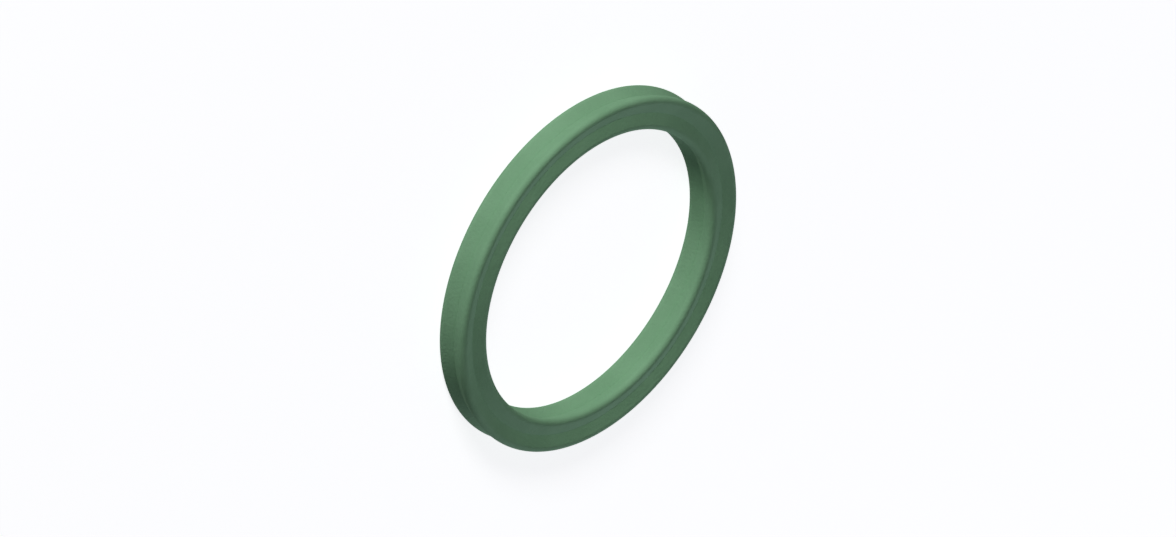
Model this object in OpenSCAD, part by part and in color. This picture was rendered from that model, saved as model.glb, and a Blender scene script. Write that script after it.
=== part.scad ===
// Four-lobed rubber seal ring, lying flat on its two lower lobes.
// It is moulded in one piece: one square section with a lobe at each corner and a groove
// along each side, turned round the ring's axis.
// The origin is the centre of the ring at half its thickness, and +Z is its axis.

/* [Ring] */
// Inside diameter of the free ring, over the crests of the inner lobes
inner_d = 46.99; // [20:0.01:120]
// Width of the section over its lobes, the same across the ring and along its axis
section_w = 5.33; // [5:0.01:7]

/* [Lobes] */
// Radius of the four sealing lobes
lobe_r = 0.80; // [0.6:0.01:1]

/* [Grooves] */
// Depth of each groove, from the crests of the lobes beside it to its bottom
groove_depth = 0.71; // [0.5:0.01:0.9]
// Radius of the groove's rounded bottom
groove_r = 0.12; // [0.1:0.01:0.3]

/* [Parting line] */
// Width of the fine bead that the joint of the mould leaves along the inner and outer grooves
bead_w = 0.12; // [0.12:0.01:0.16]
// Height of that bead above the groove's bottom
bead_h = 0.05; // [0.03:0.01:0.06]

/* [Hidden] */

// Steps round the ring, round a lobe and round a groove's bottom where the curves are drawn as facets
ring_steps = 96;
lobe_steps = 20;
root_steps = 24;

// Half the section, and the middle of the section from the ring's axis
half_w = section_w / 2;
section_at = inner_d / 2 + half_w;
// Lobe centres stand this far from the section's middle, both ways
lobe_at = half_w - lobe_r;
// The centre of a groove's rounded bottom lies outside the rubber, this far from the section's middle
root_at = half_w - groove_depth + groove_r;

// A flank is the straight line that touches a lobe on one side of it and the groove's bottom on
// the other. flank_angle is how far it leans from the side of the square, and flank_out points
// square to the flank above the outer groove, out of the rubber.
lobe_to_root = [root_at - lobe_at, -lobe_at];
flank_angle = atan2(lobe_at, lobe_to_root[0]) - acos((lobe_r + groove_r) / norm(lobe_to_root));
flank_out = [cos(flank_angle), -sin(flank_angle)];
// The flank's ends are let into both rounds by this much, so that no step is left where they meet
let_in = 0.0001;
flank_lobe_end = [lobe_at, lobe_at] + (lobe_r - let_in) * flank_out;
flank_root_end = [root_at, 0] - (groove_r - let_in) * flank_out;

// The bead is a round cap on a flat foot, let into the groove's bottom so that no gap is left under it
bead_r = (bead_w * bead_w / 4 + bead_h * bead_h) / (2 * bead_h);
bead_crest_at = root_at - groove_r + bead_h;

// A point of the section turned round its middle by so many quarter turns
function quarter_turned(p, turns) =
    [p[0] * cos(90 * turns) - p[1] * sin(90 * turns), p[0] * sin(90 * turns) + p[1] * cos(90 * turns)];

// The straight-sided core: on each side both flanks, then the middle of the lobe that follows
module core() {
    side = [
        [flank_lobe_end[0], -flank_lobe_end[1]],
        [flank_root_end[0], -flank_root_end[1]],
        flank_root_end,
        flank_lobe_end,
        [lobe_at, lobe_at]
    ];
    polygon([for (turns = [0:3]) for (p = side) quarter_turned(p, turns)]);
}

module lobes() {
    for (across = [-1, 1], along = [-1, 1])
        translate([across * lobe_at, along * lobe_at])
            circle(r = lobe_r, $fn = lobe_steps);
}

module groove_bottoms() {
    for (turns = [0:3])
        rotate(90 * turns)
            translate([root_at, 0])
                circle(r = groove_r, $fn = root_steps);
}

// The bead stands only in the inner and the outer groove, because the mould parts at half thickness
module parting_beads() {
    for (side = [-1, 1])
        translate([side * (bead_crest_at - bead_r), 0])
            circle(r = bead_r, $fn = root_steps);
}

module ring_section() {
    difference() {
        union() {
            core();
            lobes();
        }
        groove_bottoms();
    }
    parting_beads();
}

module seal_ring() {
    color("#6f9f7a")
        rotate_extrude($fn = ring_steps)
            translate([section_at, 0])
                ring_section();
}

seal_ring();
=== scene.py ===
import math

import bpy
from mathutils import Matrix, Vector


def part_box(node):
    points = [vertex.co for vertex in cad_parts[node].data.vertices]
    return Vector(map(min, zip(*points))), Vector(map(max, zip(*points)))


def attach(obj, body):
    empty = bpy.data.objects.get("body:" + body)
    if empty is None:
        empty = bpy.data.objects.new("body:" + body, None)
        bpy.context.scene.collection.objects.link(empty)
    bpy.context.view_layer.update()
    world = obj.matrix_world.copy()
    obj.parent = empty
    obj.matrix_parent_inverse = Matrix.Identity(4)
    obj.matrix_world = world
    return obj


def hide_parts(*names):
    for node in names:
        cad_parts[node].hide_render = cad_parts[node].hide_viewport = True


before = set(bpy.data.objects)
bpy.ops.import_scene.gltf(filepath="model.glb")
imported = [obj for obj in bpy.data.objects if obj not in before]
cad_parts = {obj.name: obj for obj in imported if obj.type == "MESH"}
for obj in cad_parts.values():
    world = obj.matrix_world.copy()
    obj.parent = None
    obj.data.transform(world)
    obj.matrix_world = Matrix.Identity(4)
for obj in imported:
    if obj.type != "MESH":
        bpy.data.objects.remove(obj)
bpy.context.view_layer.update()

# Units: metres throughout, so millimetres are written with MM
MM = 0.001


# Sizes of the seal ring

ring_low, ring_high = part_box("seal_ring")
RING_OUTER_R = ring_high.x
SECTION_W = ring_high.z - ring_low.z
# The middle of the section runs round the ring's axis at this distance
SECTION_AT = RING_OUTER_R - SECTION_W / 2
LOBE_R = 0.80 * MM
GROOVE_DEPTH = 0.71 * MM
GROOVE_BOTTOM_R = 0.12 * MM
# The bead that the joint of the mould leaves along the inner and the outer groove
BEAD_W = 0.12 * MM
BEAD_H = 0.05 * MM

# Steps that each curve is drawn in
RING_STEPS = 480
LOBE_STEPS = 20
GROOVE_BOTTOM_STEPS = 6
BEAD_STEPS = 8


# The picture

# It is an exact isometric view without perspective, and this wide
PICTURE_W_PX = 1176
# The ring's outside diameter in it, which is the long way across the oval
RING_ACROSS_PX = 389.5
VIEW_ELEVATION = math.asin(1 / math.sqrt(3))
# The ring's axis points this far below the picture's horizontal, to the right
AXIS_BELOW_HORIZONTAL = math.radians(30)


# The studio

CAMERA_DISTANCE = 0.5
LAMP_DISTANCE = 1.5
# Half the width of the floor
FLOOR_REACH = 1.5


def hex_colour(code):
    """sRGB hex such as '#739E7A' as linear red, green, blue and alpha"""
    channels = [int(code[i:i + 2], 16) / 255 for i in (1, 3, 5)]
    linear = [c / 12.92 if c <= 0.04045 else ((c + 0.055) / 1.055) ** 2.4 for c in channels]
    return (*linear, 1.0)


def add_node(tree, kind, links=(), **settings):
    """A node with its settings; links pairs each of its inputs with the output that feeds it"""
    node = tree.nodes.new(kind)
    for name, value in settings.items():
        if hasattr(node, name):
            setattr(node, name, value)
        else:
            node.inputs[name.replace("_", " ")].default_value = value
    for socket, source in links:
        tree.links.new(source, node.inputs[socket])
    return node


def add_object(name, data):
    """An object in the scene that shows a mesh, a lamp or a camera"""
    made = bpy.data.objects.new(name, data)
    bpy.context.scene.collection.objects.link(made)
    return made


# The section of the ring, as (across, along) pairs from its own middle

def arc(centre, radius, start, end, steps):
    """Points on an arc from one angle to another, both ends included"""
    turn = (end - start) / steps
    angles = [start + turn * i for i in range(steps + 1)]
    return [(centre[0] + radius * math.cos(a), centre[1] + radius * math.sin(a)) for a in angles]


def ring_section():
    """The closed outline of the four-lobed section, counter-clockwise from the outer groove"""
    half_w = SECTION_W / 2
    lobe_at = half_w - LOBE_R
    root_at = half_w - GROOVE_DEPTH + GROOVE_BOTTOM_R
    # A flank touches a lobe and the groove's bottom, and leans this far from the side of the square
    reach = math.hypot(root_at - lobe_at, lobe_at)
    flank = math.atan2(lobe_at, root_at - lobe_at) - math.acos((LOBE_R + GROOVE_BOTTOM_R) / reach)
    bead_r = (BEAD_W ** 2 / 4 + BEAD_H ** 2) / (2 * BEAD_H)
    bead_at = half_w - GROOVE_DEPTH + BEAD_H - bead_r
    # The bead ends where it is cut by the flank's line, which passes this far from its centre
    flank_off = (lobe_at - bead_at) * math.cos(flank) - lobe_at * math.sin(flank) + LOBE_R
    bead_edge = math.acos(flank_off / bead_r) - flank
    quarter = math.pi / 2
    outline = []
    for side in range(4):
        # The outer and inner grooves have the bead at the bottom, and the upper and lower ones don't
        if side % 2 == 0:
            groove = arc((bead_at, 0), bead_r, -bead_edge, bead_edge, BEAD_STEPS)
        else:
            groove = arc((root_at, 0), GROOVE_BOTTOM_R, math.pi + flank, math.pi - flank,
                         GROOVE_BOTTOM_STEPS)
        lobe = arc((lobe_at, lobe_at), LOBE_R, -flank, quarter + flank, LOBE_STEPS)
        c, s = math.cos(quarter * side), math.sin(quarter * side)
        outline += [(x * c - y * s, x * s + y * c) for x, y in groove + lobe]
    return outline


def moulded_ring(name):
    """The ring's skin: its section turned round the axis"""
    section = ring_section()
    count = len(section)
    verts = []
    for i in range(RING_STEPS):
        angle = 2 * math.pi * i / RING_STEPS
        c, s = math.cos(angle), math.sin(angle)
        verts += [((SECTION_AT + x) * c, (SECTION_AT + x) * s, z) for x, z in section]
    # Each face joins two neighbours on one section with the same two on the next
    faces = []
    for i in range(RING_STEPS):
        here, there = i * count, (i + 1) % RING_STEPS * count
        for j in range(count):
            after = (j + 1) % count
            faces.append((here + j, there + j, there + after, here + after))
    mesh = bpy.data.meshes.new(name)
    mesh.from_pydata(verts, [], faces)
    mesh.shade_smooth()
    # The bead meets the flanks at a crisp corner
    mesh.set_sharp_from_angle(angle=math.radians(30))
    return add_object(name, mesh)


def moulded_rubber():
    """Green nitrile rubber, compression moulded: matt, as its skin copies the blasted face of the mould"""
    material = bpy.data.materials.new("moulded_nitrile_rubber")
    material.use_nodes = True
    tree = material.node_tree
    skin = tree.nodes["Principled BSDF"]
    skin.inputs["IOR"].default_value = 1.52
    # The filler at the skin takes most of the gloss away
    skin.inputs["Specular IOR Level"].default_value = 0.2
    where = add_node(tree, "ShaderNodeTexCoord").outputs["Object"]
    # Pigment and filler don't mix quite evenly, so the green wanders a little over a few millimetres
    cloud = add_node(tree, "ShaderNodeTexNoise", [("Vector", where)],
                     Scale=1 / (6 * MM), Detail=3.0, Roughness=0.55)
    green = add_node(tree, "ShaderNodeValToRGB", [("Fac", cloud.outputs["Fac"])])
    green.color_ramp.elements[0].position = 0.3
    green.color_ramp.elements[0].color = hex_colour("#739E7A")
    green.color_ramp.elements[1].position = 0.7
    green.color_ramp.elements[1].color = hex_colour("#7BA682")
    tree.links.new(green.outputs["Color"], skin.inputs["Base Color"])
    # The blasted face of the mould leaves a grain of about 0.05 mm, drawn at 0.45 mm so that it shows
    grain = add_node(tree, "ShaderNodeTexNoise", [("Vector", where)],
                     Scale=1 / (0.45 * MM), Detail=3.0, Roughness=0.6)
    matt = add_node(tree, "ShaderNodeMapRange", [("Value", grain.outputs["Fac"])],
                    To_Min=0.8, To_Max=0.95)
    tree.links.new(matt.outputs["Result"], skin.inputs["Roughness"])
    relief = add_node(tree, "ShaderNodeBump", [("Height", grain.outputs["Fac"])],
                      Strength=1.0, Distance=0.07 * MM)
    tree.links.new(relief.outputs["Normal"], skin.inputs["Normal"])
    return material


def shown_background(tree):
    """1 for a ray that the camera, a gloss or a glass sees, and 0 for one that lights a surface"""
    path = add_node(tree, "ShaderNodeLightPath")
    shown = path.outputs["Is Camera Ray"]
    for kind in ("Is Glossy Ray", "Is Transmission Ray"):
        both = add_node(tree, "ShaderNodeMath", [(0, shown), (1, path.outputs[kind])],
                        operation="ADD", use_clamp=True)
        shown = both.outputs[0]
    return shown


def studio_floor():
    """A sheet of white paper that the ring lies on"""
    reach, z = FLOOR_REACH, ring_low.z
    corners = [(-reach, -reach, z), (reach, -reach, z), (reach, reach, z), (-reach, reach, z)]
    mesh = bpy.data.meshes.new("floor")
    mesh.from_pydata(corners, [], [(0, 1, 2, 3)])
    floor = add_object("floor", mesh)
    material = bpy.data.materials.new("white_paper")
    material.use_nodes = True
    tree = material.node_tree
    tree.nodes.clear()
    # It sends a little under half of the light back onto the ring
    bounce = add_node(tree, "ShaderNodeBsdfDiffuse", Color=hex_colour("#B3B3B3"))
    # What is seen of it is lifted to plain white, and the ring's shadow shows on it
    paper = add_node(tree, "ShaderNodeBsdfDiffuse", Color=hex_colour("#F3F3F3"))
    glow = add_node(tree, "ShaderNodeEmission", Color=hex_colour("#FFFFFF"), Strength=0.74)
    seen = add_node(tree, "ShaderNodeAddShader", [(0, paper.outputs[0]), (1, glow.outputs[0])])
    surface = add_node(tree, "ShaderNodeMixShader",
                       [(0, shown_background(tree)), (1, bounce.outputs[0]), (2, seen.outputs[0])])
    add_node(tree, "ShaderNodeOutputMaterial", [("Surface", surface.outputs[0])])
    mesh.materials.append(material)


def white_room():
    """Faint daylight from all round, in a room that is seen as white"""
    world = bpy.data.worlds.new("studio")
    world.use_nodes = True
    tree = world.node_tree
    tree.nodes.clear()
    light = add_node(tree, "ShaderNodeBackground", Color=hex_colour("#F4FAFF"), Strength=0.06)
    white = add_node(tree, "ShaderNodeBackground", Color=hex_colour("#FFFFFF"), Strength=1.0)
    surface = add_node(tree, "ShaderNodeMixShader",
                       [(0, shown_background(tree)), (1, light.outputs[0]), (2, white.outputs[0])])
    add_node(tree, "ShaderNodeOutputWorld", [("Surface", surface.outputs[0])])
    bpy.context.scene.world = world


def softbox(name, azimuth, elevation, size, power, shadow, colour="#FFFFFF"):
    """A square lamp that faces the ring. Azimuth 0 is the camera's side, and positive turns towards +X."""
    data = bpy.data.lights.new(name, "AREA")
    data.size = size
    data.energy = power
    data.color = hex_colour(colour)[:3]
    data.use_shadow = shadow
    a, e = math.radians(azimuth), math.radians(elevation)
    back = Vector((math.sin(a) * math.cos(e), -math.cos(a) * math.cos(e), math.sin(e)))
    lamp = add_object(name, data)
    lamp.location = back * LAMP_DISTANCE
    lamp.rotation_mode = "QUATERNION"
    lamp.rotation_quaternion = (-back).to_track_quat("-Z", "Y")


def camera():
    """A camera at the picture's angle, rolled so that the ring's axis points as it does there"""
    data = bpy.data.cameras.new("camera")
    data.type = "ORTHO"
    data.ortho_scale = PICTURE_W_PX / RING_ACROSS_PX * 2 * RING_OUTER_R
    back = Vector((0, -math.cos(VIEW_ELEVATION), math.sin(VIEW_ELEVATION)))
    # With no roll the axis points straight up in the picture
    roll = math.radians(90) + AXIS_BELOW_HORIZONTAL
    turn = (-back).to_track_quat("-Z", "Y").to_matrix().to_4x4() @ Matrix.Rotation(roll, 4, "Z")
    eye = add_object("camera", data)
    eye.matrix_world = Matrix.Translation(back * CAMERA_DISTANCE) @ turn
    bpy.context.scene.camera = eye


camera()
studio_floor()
white_room()
# The key stands a little lower than the ring, so it lights the walls that face it and not the top.
# It casts no shadow, so the floor doesn't hold its light back.
softbox("key", azimuth=-26, elevation=-6, size=0.25, power=14.2, shadow=False)
# The back lamp, cool as light from a window, picks out the flanks that lean away from the camera
softbox("back", azimuth=154, elevation=17, size=0.75, power=10.6, shadow=False, colour="#EEEEFF")
# The front lamp lifts the top and lays the ring's soft shadow on the floor
softbox("front", azimuth=-24, elevation=25, size=0.4, power=5.5, shadow=True)
bpy.context.scene.view_settings.view_transform = "Standard"

ring = moulded_ring("rubber_ring")
ring.data.materials.append(moulded_rubber())
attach(ring, "root")
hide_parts("seal_ring")
